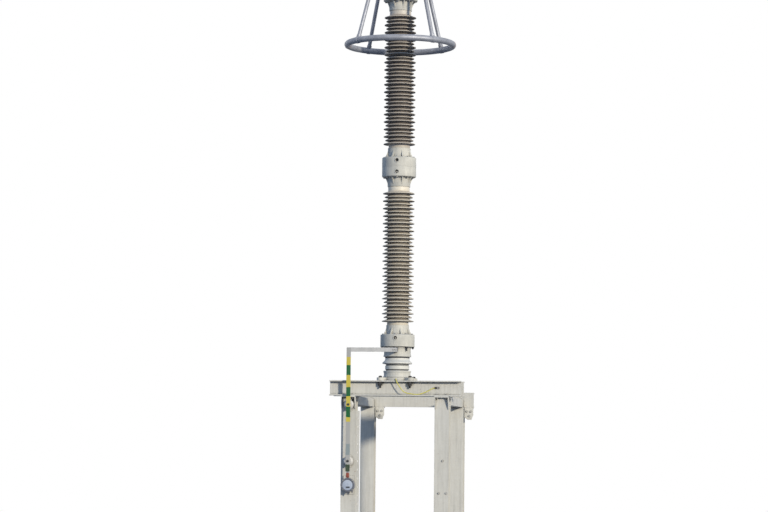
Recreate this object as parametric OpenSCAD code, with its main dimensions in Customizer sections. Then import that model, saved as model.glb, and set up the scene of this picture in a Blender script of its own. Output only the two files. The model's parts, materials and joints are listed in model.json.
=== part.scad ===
// Station surge arrester with two porcelain units and a suspended grading ring,
// on an insulating base, bolted to a four-post steel support.
// Lengths are in millimetres, +Z is up, and -Y is the side with the surge counter.
// The origin lies at ground level, in the middle of the anchor bolts.

/* [Posts] */
// Distance between post centres, left to right
post_pitch_x = 1100; // [900:10:1400]
// Distance between post centres, front to back
post_pitch_y = 1570; // [1400:10:1800]
// Height of a front post with its base plate and cap plate
post_h = 2290; // [1700:10:2800]
// Width and depth of the post's section
post_size = 170; // [164:2:230]
// Thickness of a post flange
post_flange_t = 15; // [8:1:22]
// Thickness of the post web
post_web_t = 9; // [6:1:14]
// Side of the square base plate
base_plate_w = 340; // [300:10:420]
// Thickness of the base plate
base_plate_t = 25; // [15:1:40]
// Distance between the anchor holes of one base plate
anchor_pitch = 260; // [250:5:270]
// Diameter of an anchor hole
anchor_hole_d = 28; // [20:1:34]
// Thickness of the cap plate
cap_plate_t = 16; // [10:1:25]
// Reach of a front post's cap plate over the front of its section
seat_reach = 54; // [40:2:60]
// Height of the gussets under the forward part of the cap plate
gusset_h = 135; // [80:5:200]
// Thickness of a gusset
gusset_t = 12; // [8:1:14]

/* [Beams] */
// Width of a side beam
side_beam_w = 150; // [110:5:160]
// Height of a side beam
side_beam_h = 100; // [80:5:130]
// Wall of a side beam
side_beam_wall = 10; // [6:1:16]
// Length of the two bearers under the column
cross_beam_l = 1550; // [1450:10:1900]
// Length of the back beam
back_beam_l = 1510; // [1450:10:1900]
// Height of the cross beams' channel
channel_h = 180; // [140:5:240]
// Flange width of the channel
channel_b = 74; // [66:1:90]
// Flange thickness of the channel
channel_flange_t = 14; // [7:1:16]
// Web thickness of the channel
channel_web_t = 8; // [5:1:10]
// Distance of the bolt line from the back of the web
channel_gauge = 40; // [34:1:44]
// Width of the hanger brackets under the back beam
bracket_w = 110; // [80:5:120]
// Height of the hanger brackets
bracket_h = 150; // [100:5:200]
// Thickness of the hanger brackets
bracket_t = 12; // [8:1:16]
// Gap between a hanger bracket and its post
bracket_gap = 5; // [3:1:12]

/* [Column base] */
// Distance between the column's foundation bolts
foot_bolt_pitch = 350; // [330:5:380]
// Diameter of the foundation bolt holes
foot_hole_d = 24; // [18:1:28]
// Width of the foot plate's arms
foot_arm_w = 84; // [64:2:110]
// Diameter of the foot plate's middle
foot_disc_d = 392; // [370:2:420]
// Thickness of the foot plate
foot_plate_t = 35; // [20:1:50]
// Outer diameter of the two collars
collar_d = 326; // [310:2:350]
// Height of the lower collar
collar_low_h = 83; // [60:1:110]
// Height of the upper collar
collar_high_h = 117; // [100:1:150]
// Outer diameter of the insulating base
base_body_d = 284; // [250:2:300]
// Height of the insulating base
base_body_h = 164; // [130:2:220]
// Outer diameter of the shed on the insulating base
base_shed_d = 350; // [330:5:420]

/* [Housings] */
// Length of one porcelain housing between its castings
housing_l = 1632; // [1100:2:2000]
// Diameter of the porcelain body
core_d = 254; // [220:2:258]
// Diameter of the large sheds
shed_large_d = 375; // [340:5:420]
// Diameter of the small sheds
shed_small_d = 336; // [310:2:370]
// Height from one large shed to the next
shed_pitch = 88.7; // [76:0.1:110]
// Plain length of porcelain under the first shed and over the last
neck_l = 41; // [25:1:80]
// Thickness of a shed at its rim
shed_rim_t = 8; // [5:1:12]

/* [Castings] */
// Diameter of the end castings' drum
drum_d = 402; // [380:2:430]
// Height of the drum where the two units meet
drum_h = 115; // [95:1:150]
// Height of the ribbed cone where the two units meet
cone_h = 116; // [90:1:150]
// Height of the lowest drum
drum_foot_h = 143; // [100:1:170]
// Height of the lowest ribbed cone
cone_foot_h = 113; // [80:1:130]
// Outer diameter of the casting's mouth round the porcelain
cone_mouth_d = 268; // [266:1:300]
// Number of ribs round a cone
rib_count = 8; // [4:1:12]
// Thickness of a rib
rib_t = 14; // [8:1:20]
// Radius of the hollow curve of a rib's edge
rib_curve_r = 220; // [150:10:600]
// Diameter over the feet of the ribs
rib_foot_d = 352; // [330:2:376]
// Distance of the ribs' tips from the mouth
rib_gap = 28; // [10:1:34]
// Depth of the porcelain in its casting
socket_depth = 62; // [40:1:66]
// Diameter of a vent port
vent_d = 40; // [20:1:56]
// Distance of a foot casting's vent port from the shoulder of the drum
vent_drop_foot = 42; // [36:1:56]
// Distance of a head casting's vent port from the shoulder of the drum
vent_drop_head = 54; // [36:1:56]
// Depth of a vent port
vent_depth = 26; // [10:1:50]
// Width of the raised rim round a vent port
vent_rim = 8; // [4:1:14]

/* [Head] */
// Thickness of the top plate
top_plate_t = 22; // [14:1:34]
// Outer diameter of the grading ring
ring_outer_d = 1324; // [1100:2:1500]
// Diameter of the ring's tube
ring_tube_d = 73; // [50:1:90]
// Height of the ring's middle below the upper side of the top plate
ring_drop = 654; // [500:2:900]
// Diameter of a hanger rod
rod_d = 45; // [30:1:60]
// Reach of the arms from the column's axis to the rods
arm_reach = 430; // [330:5:500]
// Width of an arm
arm_w = 70; // [60:1:90]
// Thickness of an arm
arm_t = 16; // [10:1:24]
// Diameter of the terminal's stem
stem_d = 70; // [50:1:90]
// Height of the terminal's stem
stem_h = 60; // [40:1:120]
// Width of the line terminal's palm
palm_w = 110; // [90:2:140]
// Height of the palm
palm_h = 110; // [90:2:140]
// Thickness of the palm
palm_t = 20; // [12:1:30]
// Distance between the palm's holes
palm_pitch = 50; // [40:1:60]
// Diameter of the palm's holes
palm_hole_d = 14; // [10:1:18]

/* [Earthing] */
// Width of the earth bar
bar_w = 50; // [40:1:60]
// Thickness of the earth bar
bar_t = 8; // [5:1:12]
// Distance of the earth bar's back from the front of the posts
bar_standoff = 110; // [90:1:150]
// Distance of the upright bar's middle from the post's middle, to the right
bar_shift = 12; // [0:1:16]
// Distance of the level bar's middle below the lowest casting
bar_drop = 42; // [35:1:70]
// Length of the earth bar below the middle of the lower standoff
bar_tail = 120; // [100:5:150]
// Distance of the upper standoff insulator below the top of the post
standoff_drop = 105; // [92:1:200]
// Height of the lower standoff insulator over the ground
standoff_low_z = 1525; // [1500:1:1700]
// Diameter of the standoff insulators
standoff_d = 112; // [80:2:118]
// Width of the straps that hold the standoff insulators
strap_w = 60; // [50:1:90]
// Thickness of the straps and of the counter's plate
strap_t = 8; // [5:1:12]
// Length of the straps behind the standoff insulators
strap_l = 150; // [120:2:170]
// Height of the surge counter's middle over the ground
counter_z = 1247; // [1100:1:1270]
// Diameter of the surge counter
counter_d = 168; // [140:1:180]
// Width of the dark rim round the counter's dial
counter_rim = 17; // [8:1:24]
// Depth of the surge counter's case
counter_depth = 100; // [70:1:130]
// Width and depth of the perforated strut beside the left post
strut_w = 41; // [30:1:50]
// Distance between the strut's slots
slot_pitch = 100; // [60:5:150]
// Length of a slot
slot_l = 28; // [16:1:40]
// Width of a slot
slot_w = 14; // [8:1:18]

/* [Hidden] */
$fn = 96;

fit_gap = 0.3;
back_post_h = post_h - side_beam_h;
cross_beam_top = post_h + channel_h;
post_front = -(post_pitch_y + post_size) / 2;
beam_front_y = post_front - seat_reach + channel_b;
column_y = beam_front_y - channel_gauge + foot_bolt_pitch / 2;
standoff_high_z = post_h - standoff_drop;
back_beam_y = (post_pitch_y - channel_b) / 2;
bar_back = post_front - bar_standoff;
bar_x = -post_pitch_x / 2 + bar_shift;

foot_top = cross_beam_top + foot_plate_t;
base_z = foot_top + collar_low_h;
collar_high_z = base_z + base_body_h;
lower_foot_z = collar_high_z + collar_high_h;
lower_housing_z = lower_foot_z + drum_foot_h + cone_foot_h;
lower_head_z = lower_housing_z + housing_l;
upper_foot_z = lower_head_z + cone_h + drum_h;
upper_housing_z = upper_foot_z + drum_h + cone_h;
upper_head_z = upper_housing_z + housing_l;
top_plate_z = upper_head_z + cone_h + drum_h;
arm_z = top_plate_z + top_plate_t;
arm_underside = top_plate_z + top_plate_t / 2;
ring_z = arm_z - ring_drop;
ring_r = (ring_outer_d - ring_tube_d) / 2;
terminal_z = arm_z + arm_t;
bar_top = lower_foot_z - bar_drop + bar_w / 2;
bar_end_z = standoff_low_z - bar_tail;

steel = "#c8c6b6";
cast = "#d2d0c6";
glaze = "#9d9382";
pale = "#c4c6c2";
bright = "#b9bcc0";

module at_post(side, depth) {
    translate([side * post_pitch_x / 2, depth * post_pitch_y / 2, 0]) children();
}

module at_column(z) {
    translate([0, column_y, z]) children();
}

// A square of four holes, with its centre at the origin
module four_holes(pitch, d, depth) {
    for (sx = [-1, 1], sy = [-1, 1])
        translate([sx * pitch / 2, sy * pitch / 2, -1]) cylinder(d = d, h = depth + 2);
}

module square_plate(w, t) {
    linear_extrude(t) square(w, center = true);
}

// A rolled channel along X with the back of its web at y = 0 and its flanges towards -Y
module channel(l) {
    h = channel_h;
    b = channel_b;
    f = channel_flange_t;
    w = channel_web_t;
    rotate([90, 0, 90]) translate([0, 0, -l / 2]) linear_extrude(l)
        polygon([[0, 0], [-b, 0], [-b, f], [-w, f], [-w, h - f], [-b, h - f], [-b, h], [0, h]]);
}

// The post's flanges face the front and the back
module post(h, reach = 0) {
    half = post_size / 2;
    color(steel) {
        difference() {
            square_plate(base_plate_w, base_plate_t);
            four_holes(anchor_pitch, anchor_hole_d, base_plate_t);
        }
        translate([0, 0, base_plate_t]) linear_extrude(h - base_plate_t - cap_plate_t) {
            for (s = [-1, 1])
                translate([0, s * (post_size - post_flange_t) / 2])
                    square([post_size, post_flange_t], center = true);
            square([post_web_t, post_size - post_flange_t], center = true);
        }
        translate([-half, -half - reach, h - cap_plate_t]) cube([post_size, post_size + reach, cap_plate_t]);
        if (reach > 0)
            for (x = [-half, half - gusset_t])
                translate([x, -half, h - cap_plate_t]) gusset(reach - 4);
    }
}

// An upright plate under the forward part of a cap plate
module gusset(reach) {
    rotate([90, 0, 90]) linear_extrude(gusset_t)
        polygon([[0, 0], [0, -gusset_h], [-12, -gusset_h], [-reach, -18], [-reach, 0]]);
}

// A box beam along Y with closed ends, from the back of a front post to the back beam
module side_beam(side) {
    w = side_beam_w;
    h = side_beam_h;
    wall = side_beam_wall;
    front = -(post_pitch_y - post_size) / 2;
    l = back_beam_y - fit_gap - front;
    color(steel) translate([side * post_pitch_x / 2 - w / 2, front, post_h - h]) difference() {
        cube([w, l, h]);
        translate([wall, wall, wall]) cube([w - 2 * wall, l - 2 * wall, h - 2 * wall]);
    }
}

module foot_holes() {
    translate([0, column_y, post_h]) four_holes(foot_bolt_pitch, foot_hole_d, channel_h + foot_plate_t);
}

module beam_front() {
    color(steel) difference() {
        translate([0, beam_front_y, post_h]) channel(cross_beam_l);
        foot_holes();
    }
}

module beam_rear() {
    color(steel) difference() {
        translate([0, 2 * column_y - beam_front_y, post_h])
            rotate(180) channel(cross_beam_l);
        foot_holes();
    }
}

module beam_back() {
    color(steel) translate([0, back_beam_y, back_post_h]) rotate(180) channel(back_beam_l);
}

// An angle under the back beam, to the right of a back post, with its lower corners cut off
module bracket(side) {
    w = bracket_w;
    h = bracket_h;
    color(steel) translate([side * post_pitch_x / 2 + post_size / 2 + bracket_gap, back_beam_y, back_post_h])
        difference() {
            rotate([90, 0, 90]) linear_extrude(w) polygon([
                [0, 0], [0, -h], [bracket_t, -h], [bracket_t, -bracket_t],
                [channel_b, -bracket_t], [channel_b, 0]
            ]);
            translate([0, bracket_t + 1, 0]) rotate([90, 0, 0]) linear_extrude(bracket_t + 2) {
                polygon([[-1, -h * 0.8], [w * 0.4, -h - 1], [-1, -h - 1]]);
                polygon([[w + 1, -h * 0.6], [w + 1, -h - 1], [w * 0.8, -h - 1]]);
            }
        }
}

// A round foot with four arms that carry the foundation bolts
module foot_plate() {
    reach = foot_bolt_pitch / sqrt(2);
    color(cast) difference() {
        at_column(cross_beam_top) {
            cylinder(d = foot_disc_d, h = foot_plate_t);
            for (a = [45, 135]) rotate(a) {
                translate([-reach, -foot_arm_w / 2, 0]) cube([2 * reach, foot_arm_w, foot_plate_t]);
                for (s = [-1, 1])
                    translate([s * reach, 0, 0]) cylinder(d = foot_arm_w, h = foot_plate_t);
            }
        }
        foot_holes();
    }
}

module collar(h) {
    r = collar_d / 2;
    rotate_extrude() polygon([
        [0, 0], [r - 3, 0], [r, 3], [r, 16], [r - 6, 22],
        [r - 6, h - 22], [r, h - 16], [r, h - 3], [r - 3, h], [0, h]
    ]);
}

module collar_low() {
    color(cast) at_column(foot_top) collar(collar_low_h);
}

module collar_high() {
    color(cast) at_column(collar_high_z) collar(collar_high_h);
}

// The insulating base has one wide shed, a ring below it and a groove on each side of that ring
module base_insulator() {
    r = base_body_d / 2;
    shed_r = base_shed_d / 2;
    h = base_body_h;
    color(pale) at_column(base_z) rotate_extrude() polygon([
        [0, 0], [r - 9, 0], [r - 9, h * 0.07], [r, h * 0.1], [r, h * 0.36], [r - 9, h * 0.39],
        [r - 9, h * 0.46], [shed_r - 3, h * 0.5], [shed_r, h * 0.52], [shed_r, h * 0.56],
        [shed_r - 3, h * 0.59], [r + 6, h * 0.74], [r, h * 0.82], [r, h], [0, h]
    ]);
}

// One shed, from the root of its underside round the rim to the root of its upper side
function shed_points(r, z) = [
    [core_d / 2, z + 7], [core_d / 2 + 5, z + 10], [r - 3, z], [r, z + shed_rim_t * 0.3],
    [r, z + shed_rim_t * 0.7], [r - 3, z + shed_rim_t], [core_d / 2 + 6, z + 24], [core_d / 2, z + 31]
];

// A solid porcelain body with large and small sheds in turn and plain ends that enter the castings
module housing() {
    step = shed_pitch / 2;
    count = floor((housing_l - 2 * neck_l - 31) / step) + 1;
    sheds = [
        for (i = [0 : count - 1])
            each shed_points((i % 2 == 0 ? shed_large_d : shed_small_d) / 2, neck_l + i * step)
    ];
    color(glaze) rotate_extrude() polygon(concat(
        [[0, -socket_depth + fit_gap], [core_d / 2, -socket_depth + fit_gap]],
        sheds,
        [[core_d / 2, housing_l + socket_depth - fit_gap], [0, housing_l + socket_depth - fit_gap]]
    ));
}

// One rib's outline: a triangle from the drum to the mouth with a hollow outer edge
module rib_outline(drum, cone) {
    foot = [rib_foot_d / 2, drum];
    tip = [cone_mouth_d / 2 + 1, drum + cone - rib_gap];
    chord = norm(tip - foot);
    along = (tip - foot) / chord;
    outward = [along[1], -along[0]];
    centre = (foot + tip) / 2 + outward * sqrt(rib_curve_r * rib_curve_r - chord * chord / 4);
    difference() {
        polygon([[core_d / 2 + 5, drum - 2], [foot[0], drum - 2], foot, tip, [core_d / 2 + 5, tip[1]]]);
        translate(centre) circle(r = rib_curve_r, $fn = 200);
    }
}

// An end casting with its drum below and its ribbed cone above, and a vent port in the drum
module casting(drum, cone, vent_drop) {
    vent_z = drum - vent_drop;
    r = drum_d / 2;
    mouth_r = cone_mouth_d / 2;
    color(cast) difference() {
        union() {
            rotate_extrude() polygon([
                [0, 0], [r - 1, 0], [r, 1], [r, drum - 6], [r - 6, drum], [mouth_r + 8, drum + 4],
                [mouth_r, drum + cone * 0.4], [mouth_r, drum + cone - 4], [mouth_r - 4, drum + cone],
                [0, drum + cone]
            ]);
            for (i = [0 : rib_count - 1])
                rotate((i + 0.5) * 360 / rib_count) rotate([90, 0, 0])
                    translate([0, 0, -rib_t / 2]) linear_extrude(rib_t) rib_outline(drum, cone);
            translate([0, -r + 10, vent_z]) rotate([90, 0, 0])
                cylinder(d = vent_d + 2 * vent_rim, h = 14);
        }
        translate([0, 0, drum + cone - socket_depth])
            cylinder(d = core_d + 2 * fit_gap, h = socket_depth + 1);
        translate([0, -r - 5, vent_z]) rotate([-90, 0, 0]) cylinder(d = vent_d, h = vent_depth + 5);
    }
}

module lower_foot_casting() {
    at_column(lower_foot_z) casting(drum_foot_h, cone_foot_h, vent_drop_foot);
}

module lower_head_casting() {
    at_column(upper_foot_z) mirror([0, 0, 1]) casting(drum_h, cone_h, vent_drop_head);
}

module upper_foot_casting() {
    at_column(upper_foot_z) casting(drum_h, cone_h, vent_drop_foot);
}

module upper_head_casting() {
    at_column(top_plate_z) mirror([0, 0, 1]) casting(drum_h, cone_h, vent_drop_head);
}

// The top plate carries four arms in a cross
module top_plate() {
    color(cast) at_column(top_plate_z) {
        cylinder(d = drum_d - 30, h = top_plate_t);
        for (a = [45, 135])
            rotate(a) translate([-arm_reach - arm_w / 2, -arm_w / 2, top_plate_t / 2])
                cube([2 * arm_reach + arm_w, arm_w, top_plate_t / 2 + arm_t]);
    }
}

module line_terminal() {
    color(bright) translate([0, column_y, terminal_z]) {
        cylinder(d = stem_d * 1.8, h = 14);
        cylinder(d = stem_d, h = stem_h);
        difference() {
            translate([-palm_w / 2, -palm_t / 2, stem_h - 10]) cube([palm_w, palm_t, palm_h + 10]);
            translate([0, palm_t / 2, stem_h + palm_h / 2]) rotate([90, 0, 0])
                four_holes(palm_pitch, palm_hole_d, palm_t);
        }
    }
}

module grading_ring() {
    color(bright) at_column(ring_z) rotate_extrude(convexity = 4)
        translate([ring_r, 0]) circle(d = ring_tube_d);
}

// A hanger rod runs from under the end of an arm down and outwards to the top of the ring
module ring_rod(angle) {
    run = ring_r - arm_reach;
    lean = atan2(run, ring_drop);
    reach = norm([run, ring_drop]);
    color(bright) difference() {
        at_column(arm_z) rotate(angle) translate([arm_reach, 0, 0])
            rotate([0, 180 - lean, 0]) translate([0, 0, -rod_d]) cylinder(d = rod_d, h = reach + rod_d);
        at_column(arm_underside - fit_gap) translate([-arm_reach - 200, -arm_reach - 200, 0])
            cube([2 * arm_reach + 400, 2 * arm_reach + 400, 200]);
        at_column(ring_z) rotate_extrude(convexity = 4)
            translate([ring_r, 0]) circle(d = ring_tube_d + 2 * fit_gap);
    }
}

// The lug reaches from the upper collar to the level earth bar
module bar_lug() {
    reach = column_y - bar_back;
    color(bright) translate([0, column_y, bar_top - bar_w / 2]) difference() {
        translate([-bar_w / 2, -reach, -bar_w / 2]) cube([bar_w, reach, bar_w]);
        cylinder(d = collar_d, h = 4 * bar_w, center = true);
    }
}

// A flat bar on edge runs from the column to the left post
module earth_bar_across() {
    color(pale) translate([bar_x + bar_w / 2, bar_back - bar_t, bar_top - bar_w])
        cube([-bar_x, bar_t, bar_w]);
}

// A striped bar goes down in front of the post
module earth_bar_down() {
    color("#e0b030") translate([bar_x - bar_w / 2, bar_back - bar_t, bar_end_z])
        cube([bar_w, bar_t, bar_top - bar_end_z]);
}

// An upright flat strap on the front of the left post
module strap(width, bottom, top) {
    color(steel) translate([bar_x - width / 2, post_front - strap_t, bottom])
        cube([width, strap_t, top - bottom]);
}

module strap_high() {
    strap(strap_w, standoff_high_z - strap_l / 2, standoff_high_z + strap_l / 2);
}

module strap_low() {
    strap(strap_w, standoff_low_z - strap_l / 2, standoff_low_z + strap_l / 2);
}

module counter_strap() {
    strap(counter_d * 0.75, counter_z - counter_d * 0.65, counter_z + counter_d * 0.65);
}

// A ribbed cylinder along Y between a strap and the earth bar
module standoff(z) {
    l = bar_standoff - strap_t;
    r = standoff_d / 2;
    color("ivory") translate([bar_x, post_front - strap_t, z]) rotate([90, 0, 0])
        rotate_extrude() polygon([
            [0, 0], [r * 0.7, 0], [r * 0.7, l * 0.15], [r, l * 0.25], [r, l * 0.35], [r * 0.7, l * 0.45],
            [r * 0.7, l * 0.55], [r, l * 0.65], [r, l * 0.75], [r * 0.7, l * 0.85], [r * 0.7, l], [0, l]
        ]);
}

module standoff_high() {
    standoff(standoff_high_z);
}

module standoff_low() {
    standoff(standoff_low_z);
}

module counter_case() {
    r = counter_d / 2;
    color(steel) translate([bar_x, post_front - strap_t, counter_z]) rotate([90, 0, 0])
        difference() {
            rotate_extrude() polygon([
                [0, 0], [r - 12, 0], [r - 12, counter_depth - 30], [r, counter_depth - 24],
                [r, counter_depth - 4], [r - 4, counter_depth], [0, counter_depth]
            ]);
            translate([0, 0, counter_depth - 12]) cylinder(r = r - counter_rim, h = 13);
        }
}

module counter_dial() {
    color("lightblue") translate([bar_x, post_front - strap_t - counter_depth + 12, counter_z])
        rotate([90, 0, 0]) cylinder(r = counter_d / 2 - counter_rim - fit_gap, h = 6);
}

// A short strip joins the lower end of the earth bar to the top of the counter
module counter_lead() {
    bottom = counter_z + counter_d / 2 + fit_gap;
    color(bright) translate([bar_x - 15, bar_back, bottom]) cube([30, 6, bar_end_z + 30 - bottom]);
}

// A folded strut with a row of slots, standing against the inner side of the left post
module cable_strut() {
    wall = 3;
    h = post_h - cap_plate_t - gusset_h - 25 - base_plate_t;
    color(steel) translate([-(post_pitch_x - post_size) / 2, post_front + wall, base_plate_t]) difference() {
        cube([strut_w, strut_w, h]);
        translate([wall, wall, -1]) cube([strut_w - 2 * wall, strut_w, h + 2]);
        for (z = [slot_pitch : slot_pitch : h - slot_l])
            translate([strut_w / 2, wall + 1, z]) rotate([90, 0, 0]) {
                translate([-slot_w / 2, -(slot_l - slot_w) / 2, 0]) cube([slot_w, slot_l - slot_w, wall + 2]);
                for (s = [-1, 1])
                    translate([0, s * (slot_l - slot_w) / 2, 0]) cylinder(d = slot_w, h = wall + 2, $fn = 24);
            }
    }
}

at_post(-1, -1) post(post_h, seat_reach);  // post_front_left
at_post(1, -1) post(post_h, seat_reach);  // post_front_right
at_post(-1, 1) post(back_post_h);  // post_back_left
at_post(1, 1) post(back_post_h);  // post_back_right
side_beam(-1);  // side_beam_left
side_beam(1);  // side_beam_right
beam_front();
beam_rear();
beam_back();
bracket(-1);  // bracket_left
bracket(1);  // bracket_right
foot_plate();
collar_low();
base_insulator();
collar_high();
lower_foot_casting();
at_column(lower_housing_z) housing();  // lower_housing
lower_head_casting();
upper_foot_casting();
at_column(upper_housing_z) housing();  // upper_housing
upper_head_casting();
top_plate();
line_terminal();
grading_ring();
ring_rod(-135);  // ring_rod_front_left
ring_rod(-45);  // ring_rod_front_right
ring_rod(135);  // ring_rod_back_left
ring_rod(45);  // ring_rod_back_right
earth_bar_across();
earth_bar_down();
bar_lug();
strap_high();
strap_low();
standoff_high();
standoff_low();
counter_strap();
counter_case();
counter_dial();
counter_lead();
cable_strut();
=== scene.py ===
# %% [markdown]
# # A station surge arrester on its steel support
#
# The real object keeps lightning surges away from high-voltage equipment. Two hollow porcelain
# housings are stacked between cast aluminium ends, a grading ring evens out the electric field
# near the top, and an insulating base lets the current to earth pass through one counter.
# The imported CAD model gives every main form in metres. This lesson adds what a solid model
# leaves out: soft edges, smooth porcelain, bolts, weld beads, a loose wire and the finishes.

import json
import math

import bmesh
import bpy
import numpy as np
from mathutils import Matrix


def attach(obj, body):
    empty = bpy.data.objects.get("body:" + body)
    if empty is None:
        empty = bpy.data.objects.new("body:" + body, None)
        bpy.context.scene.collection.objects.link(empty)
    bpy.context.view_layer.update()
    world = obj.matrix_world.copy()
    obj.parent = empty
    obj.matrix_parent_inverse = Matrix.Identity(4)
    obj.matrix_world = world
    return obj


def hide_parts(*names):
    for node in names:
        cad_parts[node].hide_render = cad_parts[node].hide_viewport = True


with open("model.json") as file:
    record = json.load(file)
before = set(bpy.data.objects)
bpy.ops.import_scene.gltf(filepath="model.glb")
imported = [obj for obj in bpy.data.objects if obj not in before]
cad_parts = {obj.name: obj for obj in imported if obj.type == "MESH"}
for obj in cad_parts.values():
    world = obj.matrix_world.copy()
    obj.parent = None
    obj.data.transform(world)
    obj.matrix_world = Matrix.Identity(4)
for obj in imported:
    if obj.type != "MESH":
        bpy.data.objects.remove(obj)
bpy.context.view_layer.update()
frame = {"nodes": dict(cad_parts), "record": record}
nodes = frame["nodes"]

# %% [markdown]
# The photograph was taken with a long lens from eye height, a little to the right of the
# support's front. The lens is tilted up, because the posts lean together slightly, and the
# picture is turned by about half a degree. The distance follows from how much smaller the back
# posts look than the front ones.

# %% Camera
image_w = 768
sensor = 36.0
focal_px = 2800.0
column_x, column_y = 0.0, -0.715
camera_distance = 32.94
camera_azimuth = math.radians(7.5)
camera_height = 1.6
camera_tilt = math.radians(4.065)
camera_roll = math.radians(0.56)
column_offset_px = 14.3

camera_data = bpy.data.cameras.new("camera")
camera_data.sensor_width = sensor
camera_data.lens = focal_px * sensor / image_w
camera_data.clip_end = 500.0
camera = bpy.data.objects.new("camera", camera_data)
bpy.context.scene.collection.objects.link(camera)
bpy.context.scene.camera = camera
camera.location = (
    column_x + camera_distance * math.sin(camera_azimuth),
    column_y - camera_distance * math.cos(camera_azimuth),
    camera_height,
)
camera_yaw = camera_azimuth + math.atan(column_offset_px / focal_px)
camera.matrix_world = (
    Matrix.Translation(camera.location)
    @ Matrix.Rotation(camera_yaw, 4, "Z")
    @ Matrix.Rotation(math.pi / 2 + camera_tilt, 4, "X")
    @ Matrix.Rotation(camera_roll, 4, "Z")
)
print("camera at", tuple(round(v, 2) for v in camera.location))

# %% [markdown]
# ## Effects that several finishes share
#
# Outdoor metal and glaze are never one even colour. Rain leaves upright runs, dust settles in
# patches, and every cast or rolled skin has a fine grain. Each effect is one small node group
# that puts out a mask or a normal, so the finishes stay short and agree with each other.

# %% Node helpers
def add(tree, kind, inputs=None, **settings):
    """One shader node: settings are its properties, inputs maps a socket to a value or to a socket."""
    node = tree.nodes.new("ShaderNode" + kind)
    for key, value in settings.items():
        setattr(node, key, value)
    for key, value in (inputs or {}).items():
        if isinstance(value, bpy.types.NodeSocket):
            tree.links.new(value, node.inputs[key])
        else:
            node.inputs[key].default_value = value
    return node


def mix(tree, factor, first, second):
    """first + factor * (second - first) for two colours."""
    ends = [(*c, 1.0) if isinstance(c, tuple) else c for c in (first, second)]
    return add(tree, "Mix", {0: factor, 6: ends[0], 7: ends[1]}, data_type="RGBA").outputs[2]


def combine(tree, operation, first, second):
    """One number from two, kept between 0 and 1."""
    node = add(tree, "Math", {0: first, 1: second}, operation=operation, use_clamp=True)
    return node.outputs[0]


def spread(tree, value, low, high, start=0.0, end=1.0):
    """start where value is low, end where it is high, and a straight line between them."""
    node = add(tree, "MapRange", {"Value": value, 1: low, 2: high, 3: start, 4: end})
    return node.outputs[0]


def effect(name, inputs, outputs):
    """An empty node group with the sockets it needs."""
    tree = bpy.data.node_groups.new(name, "ShaderNodeTree")
    for socket, kind in inputs:
        tree.interface.new_socket(name=socket, in_out="INPUT", socket_type="NodeSocket" + kind)
    for socket, kind in outputs:
        tree.interface.new_socket(name=socket, in_out="OUTPUT", socket_type="NodeSocket" + kind)
    return tree, tree.nodes.new("NodeGroupInput").outputs, tree.nodes.new("NodeGroupOutput").inputs


# %% [markdown]
# Painted pictures could carry such marks too, but noise has no seams and needs no unwrapping.
# Smooth noise gives the patches, and the same noise drawn out along Z gives the runs. Cells with
# a ragged edge give the spots, and fine noise read as a height gives the skin.

# %% Patches, runs, spots and skin
patches, into, out = effect("patches", [("Vector", "Vector"), ("Scale", "Float")], [("Mask", "Float")])
cloud = add(patches, "TexNoise", {"Vector": into[0], "Scale": into[1], "Detail": 5.0, "Roughness": 0.62})
patches.links.new(spread(patches, cloud.outputs[0], 0.36, 0.64), out[0])

runs, into, out = effect("runs", [("Vector", "Vector"), ("Scale", "Float")], [("Mask", "Float")])
long = add(runs, "Mapping", {"Vector": into[0], "Scale": (1.0, 1.0, 0.045)})
cloud = add(runs, "TexNoise", {"Vector": long.outputs[0], "Scale": into[1], "Detail": 4.0, "Roughness": 0.7})
runs.links.new(spread(runs, cloud.outputs[0], 0.46, 0.72), out[0])

spots, into, out = effect("spots", [("Vector", "Vector"), ("Scale", "Float")], [("Mask", "Float")])
cell = add(spots, "TexVoronoi", {"Vector": into[0], "Scale": into[1], "Randomness": 1.0})
cloud = add(spots, "TexNoise", {"Vector": into[0], "Scale": into[1], "Detail": 3.0})
ragged = combine(spots, "MULTIPLY", cloud.outputs[0], 0.4)
reach = combine(spots, "ADD", cell.outputs["Distance"], ragged)
spots.links.new(spread(spots, reach, 0.30, 0.22), out[0])

skin, into, out = effect(
    "skin", [("Vector", "Vector"), ("Scale", "Float"), ("Depth", "Float")], [("Normal", "Vector")]
)
fine = add(skin, "TexNoise", {"Vector": into[0], "Scale": into[1], "Detail": 6.0, "Roughness": 0.65})
raised = add(skin, "Bump", {"Strength": 0.6, "Distance": into[2], "Height": fine.outputs[0]})
skin.links.new(raised.outputs[0], out[0])
print("shared effects", [group.name for group in bpy.data.node_groups])

# %% [markdown]
# Every finish starts alike: one shader, a few plain values and the object's own coordinates. All
# pieces sit at the origin, so these coordinates are metres, and a mark is equally large on a small
# bolt and on a long beam.

# %% Starting a finish
def use(tree, group, vector, scale, **more):
    """One of the shared effects in a finish, on the object's own coordinates in metres."""
    node = tree.nodes.new("ShaderNodeGroup")
    node.node_tree = group
    tree.links.new(vector, node.inputs["Vector"])
    node.inputs["Scale"].default_value = scale
    for key, value in more.items():
        node.inputs[key].default_value = value
    return node.outputs[0]


def finish(name, metallic=0.0, coat=0.0, gloss=0.5):
    """A new material: its tree, its shader and the object's coordinates."""
    material = bpy.data.materials.new(name)
    material.use_nodes = True
    tree = material.node_tree
    shader = tree.nodes["Principled BSDF"]
    shader.inputs["Metallic"].default_value = metallic
    shader.inputs["Coat Weight"].default_value = coat
    shader.inputs["Coat Roughness"].default_value = 0.2
    shader.inputs["Specular IOR Level"].default_value = gloss
    return material, tree, shader, add(tree, "TexCoord").outputs["Object"]


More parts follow.
